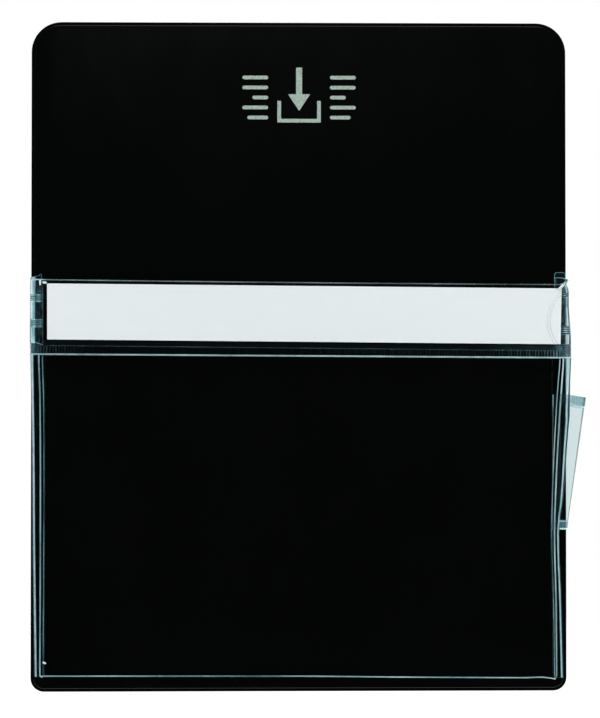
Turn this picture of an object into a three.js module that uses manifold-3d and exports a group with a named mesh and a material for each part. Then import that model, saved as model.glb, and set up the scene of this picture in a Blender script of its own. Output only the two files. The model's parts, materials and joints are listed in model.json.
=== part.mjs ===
// A magnetic pocket for A4 papers laid sideways. A black welded panel has magnet strips behind it and
// a clear film pocket in front, with a label sleeve across its mouth, folding sides and a pen sleeve
// at its right edge. Millimetres. The origin is the centre of the magnets' wall face, +X is right,
// +Z is up and the front is -Y.
import * as THREE from 'three';
import { mergeVertices } from 'three/addons/utils/BufferGeometryUtils.js';
import Module from 'manifold-3d';

// Back panel: two black skins welded round a stiffener board
const PANEL_WIDTH = 320;
const PANEL_HEIGHT = 400;
const TOP_CORNER_RADIUS = 18;
const BOTTOM_CORNER_RADIUS = 8;
const SKIN_THICKNESS = 0.5;
const BOARD_THICKNESS = 1.2;
const RIM_WIDTH = 3;
const BOARD_CLEARANCE = 0.5;
const BOND_GAP = 0.05;

// Magnet strips glued to the panel's back
const MAGNET_COUNT = 5;
const MAGNET_HEIGHT = 25;
const MAGNET_THICKNESS = 1;
const MAGNET_SIDE_MARGIN = 20;
const MAGNET_END_MARGIN = 27.5;
const MAGNET_CORNER_RADIUS = 2;

// Pocket face: a clear sheet that leans forward from its bottom weld
const FILM_THICKNESS = 0.35;
const SHEET_HEIGHT = 236;
const POCKET_SIDE_MARGIN = 5.5;
const POCKET_BOTTOM_MARGIN = 8.5;
const MOUTH_DEPTH = 10;
const SHEET_CLEARANCE = 0.2;
const BOTTOM_WELD_HEIGHT = 2.2;
const BOTTOM_WELD_THICKNESS = 0.9;
const FOLD_GAP = 0.3;

// Side folds: a flange on the panel, a rear half and a front half that meet at an outward crease
const FLANGE_WIDTH = 3;
const CREASE_REACH = 6.2;
const CREASE_GAP = 0.3;
const REAR_FOLD_RISE = 6.5;
const NARROWEST_FOLD = 0.5;

// Label sleeve and its card
const LABEL_HEIGHT = 43.4;
const WELD_BAND_HEIGHT = 7.8;
const HEM_HEIGHT = 0.8;
const SLEEVE_END_WIDTH = 4.6;
const CARD_END_ROOM = 5.5;
const CARD_HEIGHT = 33.2;
const CARD_THICKNESS = 0.25;
const CARD_CLEARANCE = 0.25;
const NOTCH_RADIUS = 23;
const NOTCH_DEPTH = 7.2;

// Pen sleeve: two films that taper downwards, with a puffed front
const PEN_SLEEVE_DROP = 67.5;
const PEN_SLEEVE_LENGTH = 80;
const PEN_MOUTH_WIDTH = 16.5;
const PEN_FOOT_WIDTH = 6;
const PEN_MOUTH_DEPTH = 7.5;
const PEN_PUFF_ROUNDNESS = 0.6;
const PEN_FOOT_BAND = 4.5;
const PEN_FLANGE_WIDTH = 2.7;
const PEN_FILM_GAP = 0.15;

// Facets
const CORNER_STEPS = 8;
const NOTCH_STEPS = 14;
const PUFF_STEPS = 10;
const PUFF_ROWS = 8;

const wasm = await Module();
wasm.setup();

// Depths, measured from the wall towards the front
const rearSkinBack = MAGNET_THICKNESS + BOND_GAP;
const boardBack = rearSkinBack + SKIN_THICKNESS + BOND_GAP;
const rearSkinFront = boardBack + BOARD_THICKNESS + BOND_GAP;
const frontSkinBack = rearSkinFront + BOND_GAP;
const panelFace = frontSkinBack + SKIN_THICKNESS;
const flangeBack = panelFace + BOND_GAP;
const flangeMiddle = flangeBack + FILM_THICKNESS / 2;
const sheetBack = flangeBack + FILM_THICKNESS + SHEET_CLEARANCE;
const sheetMiddle = sheetBack + FILM_THICKNESS / 2;

// The face's lean and the side folds' angle at rest
const hingeHeight = POCKET_BOTTOM_MARGIN - PANEL_HEIGHT / 2;
const faceHalf = PANEL_WIDTH / 2 - POCKET_SIDE_MARGIN;
const lean = Math.asin((MOUTH_DEPTH - (sheetBack - panelFace)) / SHEET_HEIGHT);
const foldAngle = Math.atan2(foldHalfDepth(SHEET_HEIGHT), CREASE_REACH);

// Half the depth between a side's two fold lines, at a height above the bottom weld
function foldHalfDepth(height) {
  return (sheetMiddle - flangeMiddle + height * Math.sin(lean)) / 2;
}

function blackSkin() {
  return new THREE.MeshStandardMaterial({ color: 0x050706, roughness: 0.45, metalness: 0 });
}

function clearFilm() {
  return new THREE.MeshStandardMaterial({
    color: 0xc4dade,
    roughness: 0.12,
    metalness: 0,
    transparent: true,
    opacity: 0.35,
  });
}

function whitePaper() {
  return new THREE.MeshStandardMaterial({ color: 0xe2e8eb, roughness: 0.8, metalness: 0 });
}

function greyBoard() {
  return new THREE.MeshStandardMaterial({ color: 0x7d786f, roughness: 0.9, metalness: 0 });
}

function magnetRubber() {
  return new THREE.MeshStandardMaterial({ color: 0x2c2826, roughness: 0.7, metalness: 0 });
}

// A closed geometry as a solid for joining and cutting
function solidOf(geometry) {
  const bare = geometry.index ? geometry.toNonIndexed() : geometry.clone();
  bare.deleteAttribute('normal');
  bare.deleteAttribute('uv');
  const merged = mergeVertices(bare, 1e-4);
  return new wasm.Manifold(new wasm.Mesh({
    numProp: 3,
    vertProperties: new Float32Array(merged.attributes.position.array),
    triVerts: new Uint32Array(merged.index.array),
  }));
}

function geometryOf(solid) {
  const mesh = solid.getMesh();
  const geometry = new THREE.BufferGeometry();
  geometry.setAttribute('position', new THREE.BufferAttribute(new Float32Array(mesh.vertProperties), 3));
  geometry.setIndex(new THREE.BufferAttribute(new Uint32Array(mesh.triVerts), 1));
  geometry.computeVertexNormals();
  return geometry;
}

function plate(shape, thickness, back = 0, steps = CORNER_STEPS) {
  const options = { depth: thickness, bevelEnabled: false, curveSegments: steps };
  return new THREE.ExtrudeGeometry(shape, options).translate(0, 0, back);
}

function block(left, right, bottom, top, back, front) {
  const geometry = new THREE.BoxGeometry(right - left, top - bottom, front - back);
  return geometry.translate((left + right) / 2, (bottom + top) / 2, (back + front) / 2);
}

function outline(points) {
  return new THREE.Shape(points.map(([x, y]) => new THREE.Vector2(x, y)));
}

// A rectangle round the origin with its own radius at the top and at the bottom corners
function roundedOutline(width, height, topRadius, bottomRadius) {
  const x = width / 2;
  const y = height / 2;
  const shape = new THREE.Shape();
  shape.moveTo(-x + bottomRadius, -y);
  shape.lineTo(x - bottomRadius, -y);
  shape.absarc(x - bottomRadius, -y + bottomRadius, bottomRadius, -Math.PI / 2, 0, false);
  shape.lineTo(x, y - topRadius);
  shape.absarc(x - topRadius, y - topRadius, topRadius, 0, Math.PI / 2, false);
  shape.lineTo(-x + topRadius, y);
  shape.absarc(-x + topRadius, y - topRadius, topRadius, Math.PI / 2, Math.PI, false);
  shape.lineTo(-x, -y + bottomRadius);
  shape.absarc(-x + bottomRadius, -y + bottomRadius, bottomRadius, Math.PI, Math.PI * 1.5, false);
  return shape;
}

// The panel's outline, drawn in from its edge
function panelOutline(inset) {
  return roundedOutline(
    PANEL_WIDTH - 2 * inset,
    PANEL_HEIGHT - 2 * inset,
    TOP_CORNER_RADIUS - inset,
    BOTTOM_CORNER_RADIUS - inset,
  );
}

function piece(name, geometry, material) {
  const mesh = new THREE.Mesh(geometry, material);
  mesh.name = name;
  return mesh;
}

// A shallow black tray whose rim meets the front skin
function rearSkin() {
  const tray = solidOf(plate(panelOutline(0), rearSkinFront - rearSkinBack, rearSkinBack));
  const floor = rearSkinBack + SKIN_THICKNESS;
  const hollow = solidOf(plate(panelOutline(RIM_WIDTH), rearSkinFront, floor));
  return piece('rear_skin', geometryOf(tray.subtract(hollow)), blackSkin());
}

function backPanel() {
  const panel = new THREE.Group();
  const boardShape = panelOutline(RIM_WIDTH + BOARD_CLEARANCE);
  panel.add(piece('front_skin', plate(panelOutline(0), SKIN_THICKNESS, frontSkinBack), blackSkin()));
  panel.add(piece('stiffener_board', plate(boardShape, BOARD_THICKNESS, boardBack), greyBoard()));
  panel.add(rearSkin());
  return panel;
}

function magnetStrips() {
  const strips = new THREE.Group();
  const length = PANEL_WIDTH - 2 * MAGNET_SIDE_MARGIN;
  const highest = PANEL_HEIGHT / 2 - MAGNET_END_MARGIN - MAGNET_HEIGHT / 2;
  const shape = roundedOutline(length, MAGNET_HEIGHT, MAGNET_CORNER_RADIUS, MAGNET_CORNER_RADIUS);
  for (let i = 0; i < MAGNET_COUNT; i += 1) {
    const strip = piece(`magnet_strip_${i + 1}`, plate(shape, MAGNET_THICKNESS), magnetRubber());
    strip.position.y = highest * (1 - 2 * i / (MAGNET_COUNT - 1));
    strips.add(strip);
  }
  return strips;
}

// The line of weld that closes the pocket's bottom
function bottomWeld() {
  const front = flangeBack + BOTTOM_WELD_THICKNESS;
  const bar = block(-faceHalf, faceHalf, -BOTTOM_WELD_HEIGHT, 0, flangeBack, front);
  const weld = piece('bottom_weld', bar, clearFilm());
  weld.position.y = hingeHeight - FOLD_GAP;
  return weld;
}

// How far a fold's half reaches from its fold line, short of the crease, at a height above the bottom weld
function foldReach(height) {
  const spare = (CREASE_GAP + FILM_THICKNESS * Math.cos(foldAngle)) / 2;
  return (foldHalfDepth(height) - spare) / Math.sin(foldAngle);
}

// The height at which a fold's half becomes wide enough to make
function foldStart() {
  const reach = FOLD_GAP + NARROWEST_FOLD;
  const rate = foldReach(1) - foldReach(0);
  return (reach - foldReach(0)) / rate;
}

// One half of a side fold, in its own plane, from its fold line towards the crease
function foldHalf(name, side, top) {
  const start = foldStart();
  const shape = outline([
    [FOLD_GAP, start],
    [foldReach(start), start],
    [foldReach(top), top],
    [FOLD_GAP, top],
  ]);
  const geometry = plate(shape, FILM_THICKNESS, -FILM_THICKNESS / 2);
  if (side < 0) {
    geometry.rotateY(Math.PI);
  }
  return piece(name, geometry, clearFilm());
}

// The flange that holds a side fold to the panel, and the fold's rear half
function rearFold(side, word) {
  const fold = new THREE.Group();
  const top = SHEET_HEIGHT + REAR_FOLD_RISE;
  const strip = new THREE.BoxGeometry(FLANGE_WIDTH, top, FILM_THICKNESS);
  const flange = piece(`${word}_fold_flange`, strip, clearFilm());
  flange.position.set(side * (faceHalf - FOLD_GAP / 2 - FLANGE_WIDTH / 2), top / 2, flangeMiddle);
  fold.add(flange);
  const half = foldHalf(`${word}_rear_fold`, side, top);
  half.position.set(side * faceHalf, 0, flangeMiddle);
  half.rotation.y = -side * foldAngle;
  fold.add(half);
  fold.position.y = hingeHeight;
  return fold;
}

function frontFold(side, word) {
  const half = foldHalf(`${word}_front_fold`, side, SHEET_HEIGHT);
  half.position.set(side * faceHalf, 0, FILM_THICKNESS / 2);
  half.rotation.y = side * foldAngle;
  return half;
}

function frontSheet() {
  const edge = faceHalf - FOLD_GAP / 2;
  return piece('front_sheet', block(-edge, edge, 0, SHEET_HEIGHT, 0, FILM_THICKNESS), clearFilm());
}

// The label sleeve's parts, from the sheet's face outwards
const sleeveBack = FILM_THICKNESS + SHEET_CLEARANCE;
const cardBack = FILM_THICKNESS + CARD_CLEARANCE;
const windowBack = cardBack + CARD_THICKNESS + CARD_CLEARANCE;
const windowFront = windowBack + FILM_THICKNESS;
const labelBottom = SHEET_HEIGHT - LABEL_HEIGHT;
const bandTop = labelBottom + WELD_BAND_HEIGHT;
const hemBottom = SHEET_HEIGHT - HEM_HEIGHT;

// The window film, with a round thumb notch in its right edge
function windowOutline() {
  const edge = faceHalf - FOLD_GAP / 2;
  const middle = (bandTop + hemBottom) / 2;
  const centre = edge - NOTCH_DEPTH + NOTCH_RADIUS;
  const half = Math.acos((centre - edge) / NOTCH_RADIUS);
  const shape = new THREE.Shape();
  shape.moveTo(-edge, labelBottom);
  shape.lineTo(edge, labelBottom);
  shape.absarc(centre, middle, NOTCH_RADIUS, Math.PI + half, Math.PI - half, true);
  shape.lineTo(edge, SHEET_HEIGHT);
  shape.lineTo(-edge, SHEET_HEIGHT);
  return shape;
}

// The window film joined to its hem, its weld band and its closed left end
function labelWindow() {
  const edge = faceHalf - FOLD_GAP / 2;
  const film = solidOf(plate(windowOutline(), FILM_THICKNESS, windowBack, NOTCH_STEPS));
  const hem = solidOf(block(-edge, edge, hemBottom, SHEET_HEIGHT, sleeveBack, windowFront));
  const band = solidOf(block(-edge, edge, labelBottom, bandTop, sleeveBack, windowFront));
  const endEdge = -edge + SLEEVE_END_WIDTH;
  const end = solidOf(block(-edge, endEdge, labelBottom, SHEET_HEIGHT, sleeveBack, windowFront));
  return piece('label_window', geometryOf(film.add(hem).add(band).add(end)), clearFilm());
}

// The card rests on the weld band, against the sleeve's closed end
function titleCard() {
  const left = -faceHalf + FOLD_GAP / 2 + SLEEVE_END_WIDTH + CARD_CLEARANCE;
  const right = left + 2 * faceHalf - CARD_END_ROOM;
  const bottom = bandTop + CARD_CLEARANCE;
  const front = cardBack + CARD_THICKNESS;
  const card = block(left, right, bottom, bottom + CARD_HEIGHT, cardBack, front);
  return piece('title_card', card, whitePaper());
}

// The pen sleeve's width at a height above its foot
function penWidth(height) {
  return PEN_FOOT_WIDTH + (PEN_MOUTH_WIDTH - PEN_FOOT_WIDTH) * height / PEN_SLEEVE_LENGTH;
}

// How far the front film stands off the flat, across and up the sleeve
function penPuff(across, height) {
  const rise = Math.max(0, (height - PEN_FOOT_BAND) / (PEN_SLEEVE_LENGTH - PEN_FOOT_BAND));
  const arch = Math.max(0, Math.sin(Math.PI * across));
  return PEN_MOUTH_DEPTH * (rise * arch) ** PEN_PUFF_ROUNDNESS;
}

// A thin closed shell between two faces of a grid, from the grid's inner face to one film further out
function puffedFilm(inner) {
  const rows = [0, PEN_FOOT_BAND];
  for (let i = 1; i <= PUFF_ROWS; i += 1) {
    rows.push(PEN_FOOT_BAND + (PEN_SLEEVE_LENGTH - PEN_FOOT_BAND) * i / PUFF_ROWS);
  }
  const columns = PUFF_STEPS + 1;
  const positions = [];
  for (const offset of [0, FILM_THICKNESS]) {
    for (const height of rows) {
      for (let i = 0; i < columns; i += 1) {
        const across = i / PUFF_STEPS;
        const x = inner + (penWidth(height) - inner) * across;
        positions.push(x, height, PEN_FILM_GAP + offset + penPuff(across, height));
      }
    }
  }
  const layer = rows.length * columns;
  const faces = [];
  const quad = (a, b, c, d) => faces.push(a, b, c, a, c, d);
  for (let j = 0; j + 1 < rows.length; j += 1) {
    for (let i = 0; i < PUFF_STEPS; i += 1) {
      const a = j * columns + i;
      quad(a, a + columns, a + columns + 1, a + 1);
      quad(layer + a, layer + a + 1, layer + a + columns + 1, layer + a + columns);
    }
    const left = j * columns;
    const right = left + PUFF_STEPS;
    quad(left, layer + left, layer + left + columns, left + columns);
    quad(right, right + columns, layer + right + columns, layer + right);
  }
  const last = layer - columns;
  for (let i = 0; i < PUFF_STEPS; i += 1) {
    quad(i, i + 1, layer + i + 1, layer + i);
    quad(last + i, layer + last + i, layer + last + i + 1, last + i + 1);
  }
  const geometry = new THREE.BufferGeometry();
  geometry.setAttribute('position', new THREE.Float32BufferAttribute(positions, 3));
  geometry.setIndex(faces);
  geometry.computeVertexNormals();
  return geometry;
}

// The pen sleeve hangs on a flange along the face's right edge and swings about that edge
function penSleeve() {
  const sleeve = new THREE.Group();
  const clear = FOLD_GAP + PEN_FILM_GAP;
  const half = FILM_THICKNESS / 2;
  const strip = block(-PEN_FLANGE_WIDTH, -FOLD_GAP, 0, PEN_SLEEVE_LENGTH, -half, half);
  sleeve.add(piece('pen_sleeve_flange', strip, clearFilm()));
  const backShape = outline([
    [clear, 0],
    [penWidth(0), 0],
    [penWidth(PEN_SLEEVE_LENGTH), PEN_SLEEVE_LENGTH],
    [clear, PEN_SLEEVE_LENGTH],
  ]);
  sleeve.add(piece('pen_sleeve_back', plate(backShape, FILM_THICKNESS, -half), clearFilm()));
  const front = piece('pen_sleeve_front', puffedFilm(clear), clearFilm());
  front.position.z = half;
  sleeve.add(front);
  const foot = SHEET_HEIGHT - PEN_SLEEVE_DROP - PEN_SLEEVE_LENGTH;
  sleeve.position.set(faceHalf, foot, sleeveBack + half);
  return sleeve;
}

// Everything that leans forward with the pocket's face
function pocketFace() {
  const face = new THREE.Group();
  face.add(frontSheet());
  face.add(labelWindow());
  face.add(titleCard());
  face.add(frontFold(-1, 'left'));
  face.add(frontFold(1, 'right'));
  face.add(penSleeve());
  face.position.set(0, hingeHeight, sheetBack);
  face.rotation.x = lean;
  return face;
}

// The pieces are drawn facing the viewer, with y up and z out of the wall, and then stood up
const pocket = new THREE.Group();
pocket.add(backPanel());
pocket.add(magnetStrips());
pocket.add(bottomWeld());
pocket.add(rearFold(-1, 'left'));
pocket.add(rearFold(1, 'right'));
pocket.add(pocketFace());
pocket.rotation.x = Math.PI / 2;

export default pocket;
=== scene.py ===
# %% [markdown]
# # A magnetic document pocket
# A black panel clings to a steel door by the magnets on its back. On its front hangs a pocket of clear
# soft film with folded sides, with a sleeve for a title card across its mouth and a small sleeve for a pen.
# The imported model already has the sizes, the bodies and the joints. This script dresses it: it draws the
# films, folds and welds as they really look, and each piece but the two folds rides on the body that
# carries it.

# %% Load the imported model
import json
import math

import bmesh
import bpy
import numpy as np
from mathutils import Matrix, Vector


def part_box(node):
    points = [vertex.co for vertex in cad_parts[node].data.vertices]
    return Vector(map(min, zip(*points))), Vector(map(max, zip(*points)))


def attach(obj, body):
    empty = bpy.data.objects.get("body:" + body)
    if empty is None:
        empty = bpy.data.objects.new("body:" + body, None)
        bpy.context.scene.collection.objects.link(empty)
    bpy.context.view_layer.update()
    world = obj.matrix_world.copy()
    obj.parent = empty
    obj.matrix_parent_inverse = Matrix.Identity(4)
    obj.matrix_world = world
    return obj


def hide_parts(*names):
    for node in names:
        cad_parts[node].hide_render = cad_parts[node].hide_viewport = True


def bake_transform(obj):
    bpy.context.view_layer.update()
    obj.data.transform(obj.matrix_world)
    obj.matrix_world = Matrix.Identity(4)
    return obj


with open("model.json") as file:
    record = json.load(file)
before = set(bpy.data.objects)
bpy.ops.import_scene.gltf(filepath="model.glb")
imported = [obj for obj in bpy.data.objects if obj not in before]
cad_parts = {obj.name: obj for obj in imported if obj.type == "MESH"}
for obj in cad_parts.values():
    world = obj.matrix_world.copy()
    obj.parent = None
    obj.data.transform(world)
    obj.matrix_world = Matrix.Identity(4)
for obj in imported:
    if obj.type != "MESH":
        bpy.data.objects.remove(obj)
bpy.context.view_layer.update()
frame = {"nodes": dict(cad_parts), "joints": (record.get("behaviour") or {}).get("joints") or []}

# %% [markdown]
# ## Rulers on the face and on the panel
# The pocket's face leans out of the panel by about two degrees, so world coordinates are awkward on it.
# Empties could serve as rulers, but a function is easier to read: it takes millimetres across the face,
# up from the bottom weld and out of the film, and gives world metres. The joints say where the face turns.

# %% Rulers for the face and for the panel
MM = 0.001
joints = {joint["name"]: joint for joint in frame["joints"]}
HINGE = np.array(joints["pocket_open"]["pos_m"])
ACROSS = np.array((1.0, 0.0, 0.0))
UPWARD = np.array(joints["right_front_fold_turn"]["axis"])
OUTWARD = np.cross(ACROSS, UPWARD)
LEAN = math.atan2(-UPWARD[1], UPWARD[2])


def on_face(x, up, out=0.0):
    """World metres for millimetres across the face, up from its bottom weld and out of its film."""
    x, up, out = np.broadcast_arrays(x, up, out)
    steps = np.multiply.outer(x, ACROSS) + np.multiply.outer(up, UPWARD) + np.multiply.outer(out, OUTWARD)
    return HINGE + MM * steps


def on_panel(x, height, depth):
    """World metres for millimetres across the panel, up from its middle and out of the wall."""
    x, height, depth = np.broadcast_arrays(x, height, depth)
    return MM * np.stack((x, -depth, height), -1)


print(f"the face leans {math.degrees(LEAN):.2f} degrees")

# %% [markdown]
# ## The camera
# The picture looks straight at the panel from a little below and left of its middle, with a long lens, so
# the top is a touch narrower than the bottom. A camera can be turned by hand, but tracking a point is
# exact: the aim is a point on the panel's face, and the lens follows from the height that is shown.

# %% Aim the camera
AIM = Vector((0.00055, -0.0034, -0.0017))
CAMERA_DISTANCE = 1.0
CAMERA_BELOW = math.radians(0.7)
CAMERA_LEFT = math.radians(0.8)
SEEN_HEIGHT = 0.4295
SENSOR = 36.0
camera = bpy.data.objects.new("camera", bpy.data.cameras.new("camera"))
bpy.context.scene.collection.objects.link(camera)
sight = Vector((math.tan(CAMERA_LEFT), 1.0, math.tan(CAMERA_BELOW))).normalized()
camera.location = AIM - sight * CAMERA_DISTANCE
camera.rotation_euler = sight.to_track_quat("-Z", "Y").to_euler()
camera.data.sensor_width = SENSOR
camera.data.lens = SENSOR * CAMERA_DISTANCE / SEEN_HEIGHT
bpy.context.scene.camera = camera
print(f"lens {camera.data.lens:.1f} mm")

# %% [markdown]
# ## Nodes as sums
# Finishes here are small sums: a little more gloss where the grain is high, a little more haze in a weld.
# Written as Python expressions they stay readable. `Wire` wraps one socket, and an operator on it adds a
# Math node. `Paint` holds a node tree, and its `node` method makes any other node with its settings.

# %% Wires carry values between nodes
class Wire:
    """One output socket; sums on it become Math nodes."""

    def __init__(self, paint, socket):
        self.paint = paint
        self.socket = socket

    def sum(self, operation, first, second):
        return self.paint.node("ShaderNodeMath", {"operation": operation}, {0: first, 1: second})

    def __add__(self, other):
        return self.sum("ADD", self, other)

    def __sub__(self, other):
        return self.sum("SUBTRACT", self, other)

    def __rsub__(self, other):
        return self.sum("SUBTRACT", other, self)

    def __mul__(self, other):
        return self.sum("MULTIPLY", self, other)

    def __pow__(self, other):
        return self.sum("POWER", self, other)

    def either(self, other):
        return self.sum("MAXIMUM", self, other)

    __radd__ = __add__
    __rmul__ = __mul__


# %% A paint is one node tree
class Paint:
    """The node tree of one finish."""

    def __init__(self, tree):
        self.tree = tree
        tree.nodes.clear()

    def node(self, kind, settings=None, sockets=None, output=0):
        """Make a node: its settings first, then the values or wires of its sockets."""
        made = self.tree.nodes.new(kind)
        for name, value in (settings or {}).items():
            if name == "stops":
                self.stop(made.color_ramp.elements, value)
            else:
                setattr(made, name, value)
        for name, value in (sockets or {}).items():
            if isinstance(value, Wire):
                self.tree.links.new(value.socket, made.inputs[name])
            else:
                made.inputs[name].default_value = value
        return Wire(self, made.outputs[output]) if made.outputs else None

    def stop(self, elements, stops):
        """Set a ramp's stops of (place, colour)."""
        while len(elements) < len(stops):
            elements.new(1.0)
        for element, (place, colour) in zip(elements, stops):
            element.position = place
            element.color = colour

    def noise(self, scale, detail=3.0, stretch=(1.0, 1.0, 1.0)):
        """Cloudy noise over the piece, stretched for finishes that run one way."""
        point = self.node("ShaderNodeTexCoord", output="Object")
        place = self.node("ShaderNodeVectorMath", {"operation": "MULTIPLY"}, {0: point, 1: stretch})
        return self.node("ShaderNodeTexNoise", None, {"Vector": place, "Scale": scale, "Detail": detail})

    def ramp(self, value, low, high):
        """A value that runs softly from 0 at low to 1 at high."""
        return self.node("ShaderNodeMapRange", {"interpolation_type": "SMOOTHSTEP"},
                         {"Value": value, "From Min": low, "From Max": high})

    def mix(self, share, first, second):
        return self.node("ShaderNodeMix", {"data_type": "RGBA"}, {0: share, 6: first, 7: second}, 2)

    def bump(self, height, strength, distance):
        return self.node("ShaderNodeBump", None,
                         {"Strength": strength, "Distance": distance, "Height": height})

    def principled(self, **sockets):
        """A Principled shader; a socket's name is written with _ for its spaces."""
        named = {name.replace("_", " "): value for name, value in sockets.items()}
        return self.node("ShaderNodeBsdfPrincipled", None, named)


def finish(name, build):
    """A material whose surface is the shader that build makes."""
    material = bpy.data.materials.new(name)
    material.use_nodes = True
    paint = Paint(material.node_tree)
    paint.node("ShaderNodeOutputMaterial", None, {"Surface": build(paint)})
    return material


# %% [markdown]
# ## Floor and sky
# The pocket is shown on plain white. A white card behind it would catch its shadow, so the white comes
# from the world instead, and from a pale floor well below. What the film and the black vinyl mirror
# matters more: white behind them and dim in front, as in a studio where the camera side is kept dark.

# %% A pale floor
FLOOR_HEIGHT = -0.60
FLOOR_FRONT, FLOOR_BACK, FLOOR_SIDE = -0.30, 3.0, 1.6


def floor_paper(paint):
    seen = paint.node("ShaderNodeLightPath", output="Is Camera Ray")
    for ray in ("Is Glossy Ray", "Is Transmission Ray"):
        seen = seen.either(paint.node("ShaderNodeLightPath", output=ray))
    drift = paint.noise(3.0)
    white = paint.mix(drift, (0.80, 0.80, 0.80, 1), (0.84, 0.84, 0.84, 1))
    glow = paint.mix(seen, (0, 0, 0, 1), (0.80, 0.80, 0.80, 1))
    return paint.principled(Base_Color=white, Roughness=0.9, Emission_Color=glow, Emission_Strength=1.0)


corners = [(side * FLOOR_SIDE, end, FLOOR_HEIGHT) for side, end in (
    (-1, FLOOR_FRONT), (1, FLOOR_FRONT), (1, FLOOR_BACK), (-1, FLOOR_BACK))]
floor_mesh = bpy.data.meshes.new("floor")
floor_mesh.from_pydata(corners, [], [(0, 1, 2, 3)])
floor_mesh.materials.append(finish("floor_paper", floor_paper))
floor = bpy.data.objects.new("floor", floor_mesh)
bpy.context.scene.collection.objects.link(floor)
print(f"floor {FLOOR_HEIGHT:.2f} m below the panel's middle")

# %% A white room that is dim on the camera's side
ROOM_FILL = 0.27
DIM_SIDE = 0.012
bpy.context.scene.view_settings.view_transform = "Standard"
world = bpy.data.worlds.new("room")
world.use_nodes = True
bpy.context.scene.world = world
room = Paint(world.node_tree)
heading = room.node("ShaderNodeTexCoord", output="Generated")
behind = room.ramp(room.node("ShaderNodeSeparateXYZ", None, {0: heading}, "Y"), -0.25, 0.35)
seen = room.node("ShaderNodeLightPath", output="Is Camera Ray")
seen = seen.either(room.node("ShaderNodeLightPath", output="Is Transmission Ray"))
mirrored = room.node("ShaderNodeLightPath", output="Is Glossy Ray")
unseen = mirrored * (DIM_SIDE + (1 - DIM_SIDE) * behind) + (1 - mirrored) * ROOM_FILL
level = seen + (1 - seen) * unseen
glow = room.node("ShaderNodeBackground", None, {"Color": (1, 1, 1, 1), "Strength": level})
room.node("ShaderNodeOutputWorld", None, {"Surface": glow})
print("room ready")

# %% [markdown]
# ## Lamps
# Film is all edges and highlights, so the lamps decide how it reads. Two broad lamps stand well to the
# sides, and light every bead and fold that turns its flank outwards. Clear film would show their mirror
# images as white patches, so they are hidden from mirror rays; the lamps above and behind are not.

# %% Four broad lamps
LAMPS = {
    "left_lamp": ((-1.05, -0.75, 0.35), (0.7, 0.9), 10.0, False),
    "right_lamp": ((1.05, -0.75, 0.30), (0.7, 0.9), 10.0, False),
    "top_lamp": ((0.00, -0.45, 1.15), (1.0, 0.5), 6.0, True),
    "rear_lamp": ((0.30, 1.10, 0.90), (0.9, 0.9), 14.0, True),
}
for name, (spot, size, power, mirrored) in LAMPS.items():
    light = bpy.data.lights.new(name, "AREA")
    light.shape = "RECTANGLE"
    light.size, light.size_y = size
    light.energy = power
    lamp = bpy.data.objects.new(name, light)
    lamp.location = spot
    lamp.rotation_euler = (-Vector(spot)).to_track_quat("-Z", "Y").to_euler()
    lamp.visible_camera = False
    lamp.visible_glossy = mirrored
    bpy.context.scene.collection.objects.link(lamp)
print(len(LAMPS), "lamps")

# %% [markdown]
# ## Black vinyl
# The panel's skins are black vinyl with a very fine pressed grain. One flat black would look like a hole,
# so two blacks drift into each other, the gloss changes with them, and cells of under half a millimetre
# lift the surface a few hundredths. Voronoi cells look more like pressed grain than noise does.

# %% Black vinyl
def black_vinyl(paint):
    point = paint.node("ShaderNodeTexCoord", output="Object")
    grain = paint.node("ShaderNodeTexVoronoi", {"feature": "SMOOTH_F1"},
                       {"Vector": point, "Scale": 2600.0})
    drift = paint.noise(16.0)
    handled = paint.noise(110.0, 5.0, (1.0, 1.0, 0.35))
    black = paint.mix(drift, (0.0004, 0.0007, 0.0006, 1), (0.0010, 0.0014, 0.0012, 1))
    rough = 0.19 + 0.06 * drift + 0.04 * handled + 0.05 * grain
    return paint.principled(Base_Color=black, Roughness=rough, Specular_IOR_Level=0.25,
                            Normal=paint.bump(grain, 0.07, 0.00003))


BLACK_VINYL = finish("black_vinyl", black_vinyl)
print("finish:", BLACK_VINYL.name)

# %% [markdown]
# ## Magnet rubber and pressed board
# Magnet strip is rolled rubber full of iron powder: dull brown-black, with faint lines along its length.
# Noise stretched along the strip gives those lines. The board between the skins is grey pressed fibre;
# it stays hidden, but it is a piece of the object, so it gets its own fibres too.

# %% Magnet rubber and pressed board
def magnet_rubber(paint):
    rolled = paint.noise(900.0, 2.0, (0.02, 1.0, 1.0))
    powder = paint.noise(2500.0, 2.0)
    dusty = paint.noise(40.0, 4.0)
    brown = paint.mix(rolled, (0.013, 0.011, 0.010, 1), (0.030, 0.026, 0.024, 1))
    brown = paint.mix(paint.ramp(dusty, 0.55, 0.8), brown, (0.045, 0.041, 0.038, 1))
    rough = 0.58 + 0.18 * powder + 0.08 * rolled
    return paint.principled(Base_Color=brown, Roughness=rough,
                            Normal=paint.bump(rolled + powder, 0.5, 0.00006))


def pressed_board(paint):
    fibre = paint.noise(700.0, 4.0, (0.25, 1.0, 1.0))
    grey = paint.mix(fibre, (0.14, 0.13, 0.115, 1), (0.27, 0.25, 0.22, 1))
    return paint.principled(Base_Color=grey, Roughness=0.8 + 0.15 * fibre,
                            Normal=paint.bump(fibre, 0.4, 0.0001))


MAGNET_RUBBER = finish("magnet_rubber", magnet_rubber)
PRESSED_BOARD = finish("pressed_board", pressed_board)
print("finishes:", MAGNET_RUBBER.name, PRESSED_BOARD.name)
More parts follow.
